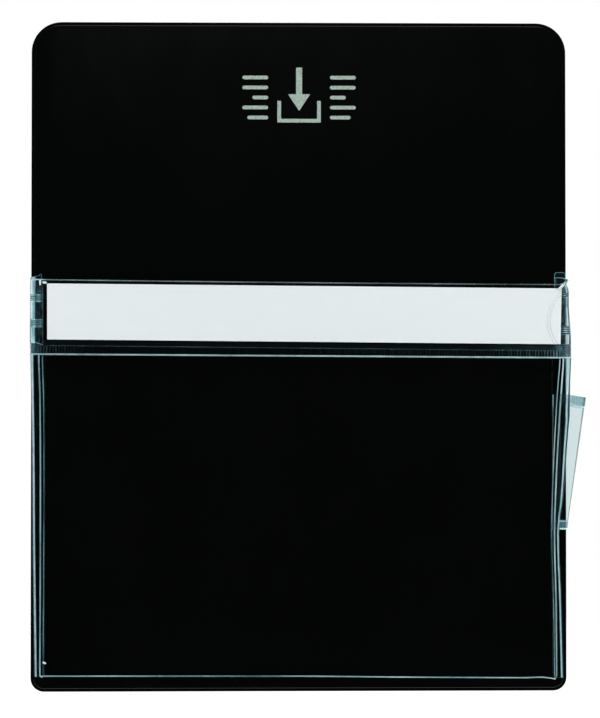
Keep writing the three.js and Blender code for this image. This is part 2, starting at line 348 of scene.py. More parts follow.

# %% [markdown]
# ## Clear film
# Soft vinyl film lets nearly all light through, mirrors a little more at flat angles, and turns pale and
# cloudy where it is folded or welded. Real glass would need refraction, which a film this thin hardly
# shows. So the clear part is a Transparent shader with a share of gloss that grows at flat angles. Two
# values are painted on the mesh: one mixes in a cloudy vinyl, and the other takes it from deep teal to
# nearly white. Besides real haze they carry painted light: the pale lines of beads, creases and ribs are
# painted highlights, and the deep teal lines beside them are painted shade.

# %% Clear film and its cut edges
FILM_TINT = (0.997, 0.9985, 0.999, 1)
SLEEVE_TINT = (0.902, 0.944, 0.947, 1)
HEAD_ON = 0.008
# The ramp runs from the deep teal of painted shade lines to the near white of painted highlights.
HAZE_TO_HIGHLIGHT = ((0.0, (0.007, 0.032, 0.040, 1)), (0.45, (0.13, 0.32, 0.37, 1)),
        (0.8, (0.39, 0.68, 0.74, 1)), (1.0, (0.80, 0.95, 0.965, 1)))


def painted(paint, name):
    """A value that is painted on the mesh."""
    return paint.node("ShaderNodeAttribute", {"attribute_name": name}, output="Fac")


def cloudy_vinyl(paint, milk):
    streaks = paint.noise(260.0, 4.0)
    haze = paint.node("ShaderNodeValToRGB", {"stops": HAZE_TO_HIGHLIGHT}, {0: milk + 0.3 * streaks - 0.15})
    return paint.principled(Base_Color=haze, Roughness=0.22 + 0.2 * streaks,
                            Normal=paint.bump(streaks, 0.2, 0.0001))


def film_of(tint):
    def film(paint):
        uneven = paint.ramp(paint.noise(140.0, 3.0), 0.25, 0.7)
        shown = painted(paint, "cloud") * (0.75 + 0.25 * uneven)
        ripple = paint.bump(paint.noise(30.0, 2.0), 0.05, 0.0004)
        clear = paint.node("ShaderNodeBsdfTransparent", None, {"Color": tint})
        gloss = paint.node("ShaderNodeBsdfGlossy", None, {"Roughness": 0.07, "Normal": ripple})
        edge_on = paint.node("ShaderNodeLayerWeight", None, {"Blend": 0.5}, "Facing")
        mirrored = HEAD_ON + (1 - HEAD_ON) * edge_on ** 5
        sheet = paint.node("ShaderNodeMixShader", None, {0: mirrored, 1: clear, 2: gloss})
        haze = cloudy_vinyl(paint, painted(paint, "milk"))
        return paint.node("ShaderNodeMixShader", None, {0: shown, 1: sheet, 2: haze})

    return film


def cut_edge(paint):
    nicks = paint.noise(420.0, 3.0)
    clear = paint.node("ShaderNodeBsdfTransparent", None, {"Color": FILM_TINT})
    haze = cloudy_vinyl(paint, 0.25 + 0.5 * nicks)
    return paint.node("ShaderNodeMixShader", None, {0: 0.35 + 0.4 * nicks, 1: clear, 2: haze})


CLEAR_FILM = finish("clear_film", film_of(FILM_TINT))
SLEEVE_FILM = finish("sleeve_film", film_of(SLEEVE_TINT))
CUT_EDGE = finish("cut_edge", cut_edge)
print("finishes:", CLEAR_FILM.name, SLEEVE_FILM.name, CUT_EDGE.name)

# %% [markdown]
# ## Card and ink
# The title card is smooth white card with a slightly cool tone and short fibres. The print on the panel is
# pale ink that doesn't quite cover the vinyl's grain, so a fine noise thins it here and there.

# %% Card paper and printing ink
def card_paper(paint):
    fibre = paint.noise(1100.0, 4.0, (0.3, 1.0, 1.0))
    tone = paint.noise(9.0, 2.0)
    white = paint.mix(tone, (0.785, 0.84, 0.855, 1), (0.815, 0.865, 0.88, 1))
    white = paint.mix(paint.ramp(fibre, 0.55, 0.85), white, (0.755, 0.81, 0.83, 1))
    return paint.principled(Base_Color=white, Roughness=0.55 + 0.2 * fibre,
                            Normal=paint.bump(fibre, 0.15, 0.00008))


def pale_ink(paint):
    cover = paint.ramp(paint.noise(900.0, 3.0), 0.3, 0.55)
    tone = paint.mix(cover, (0.20, 0.26, 0.22, 1), (0.36, 0.46, 0.40, 1))
    return paint.principled(Base_Color=tone, Roughness=0.5 - 0.1 * cover,
                            Normal=paint.bump(cover, 0.3, 0.00004))


CARD_PAPER = finish("card_paper", card_paper)
PALE_INK = finish("pale_ink", pale_ink)
print("finishes:", CARD_PAPER.name, PALE_INK.name)

# %% [markdown]
# ## Stock for the pieces
# Films, beads and skins are all grids of points: a film is a grid with a thickness, a bead is a row of
# rings, a skin is a stack of outlines. Modelling them by hand would be slow, and modifiers would hide what
# they do. `Stock` gathers points and faces from such grids, with their painted haze and painted light,
# until a piece is cut.

# %% Stock gathers points and faces
BEAD_POINTS = 10


class Stock:
    """Points and faces, gathered until a piece is cut from them."""

    def __init__(self):
        self.points = []
        self.cloud = []
        self.milk = []
        self.faces = []
        self.slots = []

    def add(self, points, faces, cloud, milk, slots):
        start = len(self.points)
        self.points.extend(points.tolist())
        self.cloud.extend(cloud.tolist())
        self.milk.extend(milk.tolist())
        self.faces.extend([[start + corner for corner in face] for face in faces])
        self.slots.extend(slots)

    def loft(self, rings, cloud=0.0, milk=0.0):
        """A closed skin over a stack of rings of as many points each, capped at both ends."""
        rings = np.asarray(rings)
        stack, around = rings.shape[:2]
        index = np.arange(stack * around).reshape(stack, around)
        turned = np.roll(index, -1, axis=1)
        quads = np.stack((index[:-1], turned[:-1], turned[1:], index[1:]), -1).reshape(-1, 4)
        faces = quads.tolist() + [index[0, ::-1].tolist(), index[-1].tolist()]
        cloud, milk = (np.repeat(np.broadcast_to(value, stack), around) for value in (cloud, milk))
        self.add(rings.reshape(-1, 3), faces, cloud, milk, [0] * len(faces))

    def sheet(self, front, back, cloud=0.0, milk=0.5, edge_slot=1):
        """A closed sheet between two grids of points."""
        rows, columns = front.shape[:2]
        count = rows * columns
        index = np.arange(count).reshape(rows, columns)
        quads = np.stack((index[:-1, :-1], index[:-1, 1:], index[1:, 1:], index[1:, :-1]), -1)
        quads = quads.reshape(-1, 4)
        rim = np.concatenate((index[0], index[1:, -1], index[-1, -2::-1], index[-2:0:-1, 0]))
        after = np.roll(rim, -1)
        edge = np.stack((after, rim, rim + count, after + count), -1)
        faces = np.concatenate((quads, quads[:, ::-1] + count, edge)).tolist()
        cloud, milk = (np.tile(np.broadcast_to(value, (rows, columns)).ravel(), 2)
                       for value in (cloud, milk))
        slots = [0] * (2 * len(quads)) + [edge_slot] * len(edge)
        points = np.concatenate((front.reshape(-1, 3), back.reshape(-1, 3)))
        self.add(points, faces, cloud, milk, slots)

    def film(self, middle, thickness, cloud=0.0, milk=0.5, edge_slot=1):
        """A closed sheet of some thickness about a grid of points."""
        normal = np.cross(np.gradient(middle, axis=1), np.gradient(middle, axis=0))
        normal /= np.linalg.norm(normal, axis=-1, keepdims=True)
        half = normal * (MM / 2 * np.broadcast_to(thickness, middle.shape[:2]))[..., None]
        self.sheet(middle + half, middle - half, cloud, milk, edge_slot)

    # Unless told otherwise a bead is painted nearly white, which is a painted highlight along it.
    def bead(self, path, radius, cloud, milk=0.85, facing=OUTWARD):
        """A round bead along a path, with domed ends."""
        along = np.gradient(path, axis=0)
        along /= np.linalg.norm(along, axis=-1, keepdims=True)
        domes = MM * radius * np.array((0.87, 0.5))[:, None]
        spine = np.concatenate((path[0] - domes * along[0], path, path[-1] + domes[::-1] * along[-1]))
        girth = MM * radius * np.concatenate(((0.5, 0.87), np.ones(len(path)), (0.87, 0.5)))
        along = np.concatenate((along[[0, 0]], along, along[[-1, -1]]))
        aside = np.cross(along, facing)
        aside /= np.linalg.norm(aside, axis=-1, keepdims=True)
        proud = np.cross(aside, along)
        turn = np.linspace(0, 2 * math.pi, BEAD_POINTS, endpoint=False)[:, None]
        spokes = np.cos(turn) * aside[:, None] + np.sin(turn) * proud[:, None]
        cloud, milk = (np.pad(np.broadcast_to(value, len(path)), 2, mode="edge")
                       for value in (cloud, milk))
        self.loft(spine[:, None] + girth[:, None, None] * spokes, cloud, milk)

    def piece(self, name, *finishes, crease=40.0):
        """Cut the piece: a mesh object with its finishes, smooth up to a crease angle."""
        mesh = bpy.data.meshes.new(name)
        mesh.from_pydata(self.points, [], self.faces)
        for material in finishes:
            mesh.materials.append(material)
        mesh.polygons.foreach_set("material_index", self.slots)
        mesh.attributes.new("cloud", "FLOAT", "POINT").data.foreach_set("value", self.cloud)
        mesh.attributes.new("milk", "FLOAT", "POINT").data.foreach_set("value", self.milk)
        shell = bmesh.new()
        shell.from_mesh(mesh)
        bmesh.ops.recalc_face_normals(shell, faces=shell.faces)
        shell.to_mesh(mesh)
        shell.free()
        mesh.shade_smooth()
        mesh.set_sharp_from_angle(angle=math.radians(crease))
        made = bpy.data.objects.new(name, mesh)
        bpy.context.scene.collection.objects.link(made)
        print(f"{name}: {len(mesh.vertices)} points")
        return made


# %% [markdown]
# ## The panel's two skins
# Two sheets of vinyl are welded together around a board, and the weld pinches a flat rim about two
# millimetres wide around the edge. A bevel modifier can't pinch, so each skin is lofted: the outline is
# repeated at several insets and depths, as a potter's profile is, and the rim is simply part of it.

# %% Skins with a pinched rim
PANEL_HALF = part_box("front_skin")[1] / MM
TOP_CORNER = 18.0
BOTTOM_CORNER = 8.0
CORNER_POINTS = 14


def panel_outline(inset, depth):
    """A loop around the panel, that far inside its edge and that far out of the wall."""
    loop = []
    corners = ((1, 1, TOP_CORNER), (-1, 1, TOP_CORNER), (-1, -1, BOTTOM_CORNER), (1, -1, BOTTOM_CORNER))
    for quarter, (side, end, corner) in enumerate(corners):
        radius = corner - inset
        turn = np.radians(90 * quarter + np.linspace(0, 90, CORNER_POINTS))
        x = side * (PANEL_HALF[0] - corner) + radius * np.cos(turn)
        height = end * (PANEL_HALF[2] - corner) + radius * np.sin(turn)
        loop.append(on_panel(x, height, depth))
    return np.concatenate(loop)


def skin(name, node, profile):
    stock = Stock()
    stock.loft([panel_outline(inset, depth) for inset, depth in profile])
    made = stock.piece(name, BLACK_VINYL, crease=25.0)
    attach(made, "back_panel")
    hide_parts(node)


skin("front_cover", "front_skin", (
    (3.0, 2.90), (0.25, 2.90), (0.0, 2.97), (0.0, 3.05), (0.12, 3.12),
    (1.6, 3.12), (1.8, 3.14), (2.0, 3.32), (2.2, 3.40)))
skin("rear_cover", "rear_skin", (
    (3.2, 1.55), (3.2, 2.85), (0.25, 2.85), (0.0, 2.77), (0.0, 1.50), (0.15, 1.38),
    (1.5, 1.36), (1.75, 1.32), (2.1, 1.12), (2.5, 1.05)))

# %% [markdown]
# ## Magnets and board
# These CAD solids already have their real shape, so they stay. The magnets only need their sharp edges
# rounded a little, because rolled rubber never keeps a sharp edge, and a Bevel modifier does that without
# touching the mesh. Their finish goes into the material slot that they came with.

# %% Dress the solids that stay
magnets = [node for name, node in frame["nodes"].items() if name.startswith("magnet_strip")]
for magnet in magnets:
    bevel = magnet.modifiers.new("rolled edge", "BEVEL")
    bevel.width = 0.25 * MM
    bevel.segments = 2
    bevel.limit_method = "ANGLE"
    magnet.material_slots[0].material = MAGNET_RUBBER
frame["nodes"]["stiffener_board"].material_slots[0].material = PRESSED_BOARD
print(len(magnets), "magnets dressed")

# %% [markdown]
# ## The print
# A small pale print sits near the panel's top. It shows what the thing is for without words: an arrow into
# a tray, between short bars. Each mark is a plate of ink a few hundredths of a millimetre thick, so that it
# has an edge of its own where a painted mask would be lost in the mesh that is exported.

# %% Ink plates
INK_BACK = 3.38
INK_FRONT = 3.44
TRAY = ((-13, 153), (-13, 140), (13, 140), (13, 153),
        (10.8, 153), (10.8, 142.2), (-10.8, 142.2), (-10.8, 153))
ARROW = ((-1.8, 173), (-1.8, 157), (-6.6, 157), (0, 147), (6.6, 157), (1.8, 157), (1.8, 173))
BAR_ENDS = (34.0, 34.0, 28.0, 34.0, 31.0)
BAR_START = 18.5
BAR_TOP = 167
BAR_STEP = 6
BAR_HALF = 1.1


def ink(stock, outline):
    x, height = np.array(outline, float).T
    stock.loft([on_panel(x, height, INK_BACK), on_panel(x, height, INK_FRONT)])


def pill(low, high, height, half):
    """The outline of a bar with round ends."""
    turn = np.radians(np.linspace(-90, 90, 9))
    right = np.stack((high - half + half * np.cos(turn), height + half * np.sin(turn)), -1)
    return np.concatenate((right, (low + high, 2 * height) - right))


mark = Stock()
ink(mark, TRAY)
ink(mark, ARROW)
for row, reach in enumerate(BAR_ENDS):
    height = BAR_TOP - BAR_STEP * row
    ink(mark, pill(BAR_START, reach, height, BAR_HALF))
    ink(mark, pill(-reach, -BAR_START, height, BAR_HALF))
print_mark = mark.piece("pocket_print", PALE_INK)
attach(print_mark, "back_panel")

# %% [markdown]
# ## Lines of the pocket
# No line of a soft pocket is straight. Its seams and creases wander by a millimetre or two, the right one
# bulges where the pen sleeve pulls at it, and the mouth hangs lower at the right. Curves could hold these
# lines, but every film needs them as numbers, so each is a smooth function through a few measured knots.

# %% Seams, creases and the hang of the mouth
def through(*knots):
    """A smooth line through knots of (height, place) that never swings past them."""
    heights, places = np.array(knots, float).T
    steps = np.diff(places) / np.diff(heights)
    same_way = steps[:-1] * steps[1:] > 0
    both = np.where(same_way, steps[:-1] + steps[1:], 1.0)
    inner = np.where(same_way, 2 * steps[:-1] * steps[1:] / both, 0.0)
    slopes = np.concatenate((steps[:1], inner, steps[-1:]))

    def line(height):
        height = np.clip(height, heights[0], heights[-1])
        at = np.clip(np.searchsorted(heights, height, side="right") - 1, 0, len(heights) - 2)
        span = heights[at + 1] - heights[at]
        t = (height - heights[at]) / span
        start = (2 * t**3 - 3 * t**2 + 1) * places[at] + (t**3 - 2 * t**2 + t) * span * slopes[at]
        return start + (3 * t**2 - 2 * t**3) * places[at + 1] + (t**3 - t**2) * span * slopes[at + 1]

    return line


MOUTH = 235.1
HALF_WIDTH = 150
SEAM = {
    -1: through((0, 153.3), (76, 152.7), (136, 152.4), (165, 152.5), (191, 153.1), (MOUTH, 152.4)),
    1: through((0, 153.3), (45, 152.6), (88, 151.35), (119, 152.1), (158, 153.9), (177, 155.1),
               (191, 156.0), (MOUTH, 156.4)),
}
CREASE = {
    -1: through((0, 157.9), (76, 158.7), (136, 159.0), (191, 159.9), (197, 160.1), (205, 160.1),
                (212, 160.0), (MOUTH, 159.9)),
    1: through((0, 158.2), (45, 157.0), (86, 155.55), (96, 156.25), (106, 157.65), (119, 158.8),
               (137, 160.0), (149, 160.9), (158, 161.65), (177, 161.9), (191, 162.4), (204, 162.3),
               (213, 161.7), (224, 161.0), (230, 161.0), (233.2, 160.6), (235.8, 159.4), (237.6, 160.4),
               (238.6, 160.9)),
}
SPREAD = {
    -1: through((0, 0.95), (MOUTH, 1.08)),
    1: through((0, 0.6), (100, 0.88), (170, 1.12), (191, 1.0)),
}
HANG = through((0, -0.0037), (100, -0.0045), (192, -0.0066), (196.4, -0.0100), (MOUTH, -0.0088))
SAG = through((0, 0.0), (196, 0.0), (MOUTH, 0.3))


def on_pocket(x, up, out=0.0):
    """A point on the face, lower at the right and in the middle, as the soft film hangs."""
    x, up = np.broadcast_arrays(x, up)
    return on_face(x, up + x * HANG(up) + SAG(up) * (x / HALF_WIDTH) ** 2, out)


print(f"the mouth hangs {-HANG(MOUTH) * 310:.1f} mm lower at the right")

# %% [markdown]
# ## The pocket's face
# One sheet of clear film, welded along the bottom and both sides and free at the mouth. A flat plane would
# mirror the room like glass; soft film is never flat, so the grid gets long shallow waves that die out
# towards the welds and under the label, where a second film holds it straight.

# %% The face film
FILM = 0.35
WAVE = 0.3
SEAM_OVERLAP = 1.25
LABEL_FOOT = 191.7
BAND_TOP = 196.4


def smooth(value, low, high):
    """From 0 at low to 1 at high, with soft ends."""
    t = np.clip((value - low) / (high - low), 0, 1)
    return t * t * (3 - 2 * t)


up, share = np.meshgrid(np.linspace(0, MOUTH, 60), np.linspace(0, 1, 70), indexing="ij")
left = -SEAM[-1](up) - SEAM_OVERLAP
right = SEAM[1](up) + SEAM_OVERLAP
x = left + (right - left) * share
held = smooth(share, 0, 0.15) * smooth(1 - share, 0, 0.15)
held = held * smooth(up, 4, 40) * smooth(-up, -186, -150)
waves = np.sin(0.045 * x + 0.02 * up) + 0.6 * np.sin(0.031 * up - 0.018 * x + 1.3)
stock = Stock()
stock.film(on_pocket(x, up, WAVE * held * waves), FILM)
pocket_film = stock.piece("pocket_film", CLEAR_FILM, CUT_EDGE)
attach(pocket_film, "pocket_face")
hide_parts("front_sheet")

# %% [markdown]
# ## Welded seams
# A hot bar melts the films together and squeezes out a bead on each side of the bar: two beads up each
# side, and one along the bottom. Seen from the front these pale lines draw the whole pocket, so they are
# round geometry, and their whiteness is a painted highlight that comes and goes along them.

# %% The side beads
OUTER_BEAD = 0.42
INNER_BEAD = 0.26
BEAD_OUT = 0.2
CORNER_BEND = 1.3
UPPER_LINE = 151.8
CORNER_DAB = ((-152.0, -151.0), (8.7, 8.2))


def side_seam(name, side):
    stock = Stock()
    up = np.linspace(LABEL_FOOT, CORNER_BEND, 90)
    # The beads' whiteness is a painted highlight: flicker makes it come and go, and by_sleeve paints the
    # right beads brighter from the pen sleeve up.
    flicker = 0.08 * np.sin(0.05 * up + side) + 0.07 * np.sin(0.13 * up + 2 * side)
    by_sleeve = (0.08 + 0.24 * smooth(up, 84, 112)) * (side > 0)
    inner = SEAM[side](up) - SPREAD[side](up)
    lit = flicker + by_sleeve
    stock.bead(on_pocket(side * inner, up, BEAD_OUT), INNER_BEAD, 0.32 + lit, 0.55 + lit)
    turn = np.radians(np.linspace(0, 90, 8))[1:]
    outer = SEAM[side](up) + SPREAD[side](up)
    outer = np.concatenate((outer, outer[-1] - CORNER_BEND * (1 - np.cos(turn))))
    height = np.concatenate((up, CORNER_BEND * (1 - np.sin(turn))))
    # The outer bead's painted highlight comes and goes against the inner one's.
    shine = np.pad(by_sleeve - flicker, (0, len(turn)), mode="edge")
    stock.bead(on_pocket(side * outer, height, BEAD_OUT), OUTER_BEAD, 0.48 + shine, 0.78 + 0.3 * shine)
    if side < 0:
        # A small white dab near the lower left corner is a painted glint.
        x, height = (np.linspace(*ends, 4) for ends in CORNER_DAB)
        stock.bead(on_pocket(x, height, 0.5), 0.6, 1.0, 1.0)
        up = np.linspace(BAND_TOP + 1, MOUTH - 5, 30)
        stock.bead(on_pocket(-UPPER_LINE, up, BEAD_OUT), 0.2, 0.13 + 0.05 * np.sin(0.4 * up), 0.5)
    made = stock.piece(name, CLEAR_FILM)
    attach(made, "pocket_face")


side_seam("left_side_seam", -1)
side_seam("right_side_seam", 1)

# %% The bottom bead
BOTTOM_BEAD = 0.36
WANDER = through((-153, 0.5), (0, 0.7), (60, 0.2), (110, 0.0), (134, -0.1), (144, 0.3), (150, -0.3),
                 (153, -0.8))
x = np.linspace(-SEAM[-1](0) + 0.2, SEAM[1](0) - 0.2, 120)
# The bottom bead's whiteness is a painted highlight that comes and goes and grows towards both ends.
flicker = 0.1 * np.sin(0.04 * x) + 0.07 * np.sin(0.11 * x + 1)
shine = flicker + 0.14 * (x / HALF_WIDTH) ** 2
stock = Stock()
stock.bead(on_pocket(x, WANDER(x), BEAD_OUT), BOTTOM_BEAD,
           0.48 + 0.0004 * x + shine, 0.7 + 0.001 * x + shine)
bottom_seam = stock.piece("bottom_seam", CLEAR_FILM)
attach(bottom_seam, "back_panel")
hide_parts("bottom_weld")

# %% [markdown]
# ## Folded sides
# Each side is one strip of film: a flange welded to the panel, a rear half that leans out, a crease, a
# front half that comes back, and a flange welded behind the face. It is drawn as one grid across that
# section, so the crease is a real rounded bend. The right one is pinched at the mouth.

# %% The fold's section and its top edge
REAR_DEPTH = 3.66
FRONT_TUCK = -0.40
REAR_EDGE = 154.0
FRONT_OVERLAP = 0.5
FLANGE = 2.4
FLANGE_SHARE = 0.12
CREASE_ROUND = 0.2
FOLD_TOP = {
    -1: through((0, 233.6), (0.06, 234.2), (0.1, 239.3), (0.13, 239.3), (0.18, 238.2), (0.3, 237.6),
                (0.5, 236.4), (0.7, 235.6), (1, 235.2)),
    1: through((0, 240.0), (0.15, 240.0), (0.3, 239.4), (0.5, 238.2), (0.7, 236.6), (1, 235.4)),
}


def fold_section(side, up, share):
    """Points of the fold: share runs from the flange on the panel, over the crease, to the face."""
    across = np.clip((share - FLANGE_SHARE) / (1 - 2 * FLANGE_SHARE), 0, 1)
    bulge = 1 - np.abs(2 * across - 1) ** 1.7
    front_edge = SEAM[side](up) + FRONT_OVERLAP
    edge = REAR_EDGE + (front_edge - REAR_EDGE) * across
    x = edge + (CREASE[side](up) - CREASE_ROUND - edge) * bulge
    rear_flange = FLANGE * (1 - 0.6 * smooth(up, 222, 236))
    front_flange = FLANGE * 0.8
    x = x - rear_flange * np.clip(1 - share / FLANGE_SHARE, 0, 1)
    x = x - front_flange * np.clip((share - 1 + FLANGE_SHARE) / FLANGE_SHARE, 0, 1)
    height = HINGE[2] / MM + up * math.cos(LEAN)
    rear = on_panel(side * x, height + side * x * HANG(up), REAR_DEPTH)
    front = on_pocket(side * x, up, FRONT_TUCK)
    return rear + (front - rear) * across[..., None], x


print(f"the creases stand {CREASE[-1](100):.1f} and {CREASE[1](100):.1f} mm out")

# %% [markdown]
# ## Painted light on the folds
# Along its crease bent film shows a bright band, painted as white haze that stands in for its highlight,
# with a painted dark line outside it where the light goes round the bend. By the label it is crumpled,
# which is painted as bright streaks where the facets catch the light, and near the mouth a bar has pressed
# three welds with ribs across it, whose crests, borders and glints are painted highlights. A texture could
# hold all this, but the tables say how wide and bright each is at a height.

# %% Rows of the grid and the welds
FOLD_WELDS = {
    -1: ((224.1, 4.8, 1.0), (209.4, 5.0, 1.0), (194.8, 6.2, 0.06)),
    1: ((228.0, 2.8, 1.0), (208.3, 5.0, 1.6), (196.4, 8.2, 0.65)),
}
FOLD_ROWS = ((0, 190, 64), (190, MOUTH, 60), (197.9, 200.6, 12))
WELD_ROWS = 31
CLOSEST_ROWS = 0.03


def fold_grid(side):
    """Heights and shares of the fold's points, closest in the welds and at the crease."""
    rows = [np.linspace(*stretch) for stretch in FOLD_ROWS]
    for weld, tall, _ in FOLD_WELDS[side]:
        rows.append(np.linspace(weld - tall / 2, weld + tall / 2, WELD_ROWS))
    rows = np.unique(np.concatenate(rows))
    rows = rows[np.diff(rows, append=MOUTH + 1) > CLOSEST_ROWS]
    turn = np.linspace(-1, 1, 61)
    return np.meshgrid(rows, 0.5 + turn * (1 + np.abs(turn)) / 4, indexing="ij")


print("a fold's grid has", fold_grid(1)[0].shape, "points")

# %% Painted highlight and shade along the crease
# These tables give the crease's painted highlight at each height: how wide its band is, how much haze shows
# in it and how white it is, and how wide the painted dark line outside it is.
CREASE_BAND = {
    -1: through((0, 1.7), (150, 1.7), (190, 2.0), (198, 3.4), (MOUTH, 3.4)),
    1: through((0, 1.6), (90, 1.5), (120, 2.0), (150, 2.3), (160, 2.8), (172, 2.8), (190, 3.2),
               (197, 2.8), (204, 2.75), (211, 2.5), (MOUTH, 2.1)),
}
CREASE_SHINE = {
    -1: through((0, 0.5), (60, 0.5), (120, 0.6), (190, 0.6), (200, 0.95), (MOUTH, 0.95)),
    1: through((0, 0.6), (90, 0.6), (115, 1.3), (166, 1.3), (176, 0.95), (MOUTH, 0.95)),
}
CREASE_HIGHLIGHT_TONE = {
    -1: through((0, 0.8), (60, 0.86), (170, 0.86), (190, 0.8), (204, 0.92), (MOUTH, 0.92)),
    1: through((0, 0.84), (95, 0.84), (112, 1.1), (166, 1.1), (176, 0.84), (190, 0.82), (204, 0.9),
               (221, 0.9), (223.5, 0.6), (229, 0.6), (231.5, 0.85), (MOUTH, 0.9)),
}
DARK_LINE = {
    -1: through((0, 0.25), (190, 0.25), (196, 0.45), (206, 0.45), (214, 0.2), (MOUTH, 0.12)),
    1: through((0, 0.25), (95, 0.3), (120, 0.75), (150, 0.85), (160, 1.35), (168, 1.1), (176, 0.6),
               (190, 0.6), (197, 1.15), (204, 1.2), (211, 0.9), (MOUTH, 0.95)),
}
CRUMPLE_HAZE_AND_GLARE = {-1: 0.09, 1: 0.30}
REAR_LINE = 153.6
REAR_NARROWER = 0.6


def front_half(share):
    """0 on the fold's rear half and 1 on its front half."""
    return smooth(share, 0.45, 0.55)


def crease_haze(side, up, share, x, inward):
    """The crease's band of painted highlight and its painted dark line, as haze values of the film around
    it.
    """
    band = CREASE_BAND[side](up) - REAR_NARROWER * (1 - front_half(share))
    line = DARK_LINE[side](up)
    # Outside the crease lies the painted dark line, and past it core is the band of painted highlight.
    past_line = smooth(inward, line, line + 0.35)
    core = past_line * smooth(band - inward, 0, 0.3)
    uneven = 1 + 0.1 * np.sin(0.7 * up) + 0.06 * np.sin(0.23 * up + side)
    beside_label = smooth(up, 196, 204)
    # Beside the label the crumpled front half is painted with bright streaks where its facets would catch
    # the light.
    streak = np.sin(4.4 * inward + 0.35 * up) + 0.6 * np.sin(0.8 * up + 1.1 * inward)
    streak = smooth(streak, 0.4, 1.2)
    crumpled = beside_label * front_half(share) * smooth(inward, band, band + 0.3)
    cloud = 0.006 + CRUMPLE_HAZE_AND_GLARE[side] * crumpled * (0.45 + 0.9 * streak)
    cloud = cloud + CREASE_SHINE[side](up) * np.maximum(core * uneven, 1 - past_line)
    # On the left, beside the label, the painted highlight is painted duller about a millimetre in from the
    # edge.
    dull_from = 0.9 + 0.5 * smooth(up, 206, 212)
    dull = 0.36 * beside_label * smooth(inward, dull_from, dull_from + 0.5) * (side < 0)
    milk = 0.04 + beside_label * (1 - core) * (0.06 + 0.3 * streak)
    milk = milk + core * (CREASE_HIGHLIGHT_TONE[side](up) - dull)
    rear_line = np.exp(-((x - REAR_LINE) / 0.7) ** 2)
    rear_line = rear_line * smooth(0.4 - share, 0, 0.1) * smooth(up, 200, 226)
    return core, np.maximum(cloud, 0.16 * rear_line), np.maximum(milk, 0.5 * rear_line)


print(f"the right crease's bright band is {CREASE_BAND[1](165):.1f} mm wide by the pen sleeve")

# %% Ribbed welds across the fold
RIB_PITCH = 1.2
RIB_PROUD = 0.3
PUCKER_FOOT = (153.0, 197.0)
PUCKER_RISE = 0.38
PUCKER_END = 158.0


def press_welds(side, level, share, inward, core, cloud, milk):
    """Haze values and thickness after a bar has pressed its ribs across the film, with painted highlights.
    """
    thick = np.full_like(cloud, FILM)
    on_film = smooth(share, 0.05, 0.2) * smooth(1 - share, 0, 0.1)
    for weld, tall, shine in FOLD_WELDS[side]:
        from_edge = tall / 2 - np.abs(level - weld)
        inside = smooth(from_edge, 0, 0.3) * on_film
        rib = np.cos(math.pi * (level - weld) / RIB_PITCH) ** 6
        # rim paints a highlight along the borders of the left fold's welds, and glint makes the painted
        # highlights come and go across the fold.
        rim = (1 - smooth(from_edge, 0.45, 0.8)) * (side < 0)
        lit = np.maximum(rib, rim)
        glint = 0.5 + 0.5 * np.cos(1.5 * inward + weld)
        thick = thick + inside * RIB_PROUD * rib
        cloud = cloud + inside * (0.3 + min(shine, 1.0) * (0.30 + 0.33 * lit) - cloud)
        # The film between the ribs is dark teal, the rib crests and borders are painted highlights, and on
        # the left the crease's painted highlight runs on through the welds.
        pressed = 0.03 + shine * (0.02 + (0.22 + 0.5 * glint) * lit) + 0.25 * core * (side < 0)
        milk = milk + inside * (pressed - milk)
    return cloud, milk, thick


def pucker(up, share, x):
    """Where a fine slanting wrinkle, pulled by the left fold's lowest weld, catches the light: a mask for a
    painted highlight.
    """
    above = up - PUCKER_FOOT[1] - PUCKER_RISE * (x - PUCKER_FOOT[0])
    return np.exp(-((above / 0.3) ** 2)) * front_half(share) * smooth(PUCKER_END - x, 0, 0.4)


print(sum(len(welds) for welds in FOLD_WELDS.values()), "ribbed welds")

# %% [markdown]
# ## Cutting the folds
# A fold joins two bodies: its rear lies on the panel and its front on the face. Each fold is baked into
# place and its points are read relative to the hinge, but no weights are given, and it is attached to
# neither body. The right fold also ends in a small tab that lies on the panel above the mouth.

# %% Cut both folds
TAB_INNER, TAB_OUTER = 153.2, 159.6
TAB_FOOT, TAB_TOP = 38.0, 50.1
TAB_CORNER = 1.5
TAB_DEPTH = 3.62
BRIGHTEST = 1.35


def follow_fold(piece):
    """Bake the piece into place and read its points relative to the hinge; no weights are given."""
    tuple(on_face(0, MOUTH))
    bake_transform(piece)
    points = np.empty(3 * len(piece.data.vertices))
    piece.data.vertices.foreach_get("co", points)
    points = points.reshape(-1, 3) - HINGE


def tab(stock):
    """The right fold's flange ends in a flat tab with round corners, on the panel above the mouth."""
    x, share = np.meshgrid(np.linspace(TAB_INNER, TAB_OUTER, 30), np.linspace(0, 1, 8))
    near = np.clip(TAB_CORNER - np.minimum(x - TAB_INNER, TAB_OUTER - x), 0, None)
    round_off = TAB_CORNER - np.sqrt(np.clip(TAB_CORNER**2 - near**2, 0, None))
    height = TAB_FOOT + (TAB_TOP - round_off - TAB_FOOT) * share
    middle = on_panel(x, height, TAB_DEPTH)
    stock.film(middle, FILM, 0.01)
    outline = np.concatenate((middle[:-1, 0], middle[-1], middle[-2::-1, -1]))
    stock.bead(outline, 0.2, 0.5, 0.55)


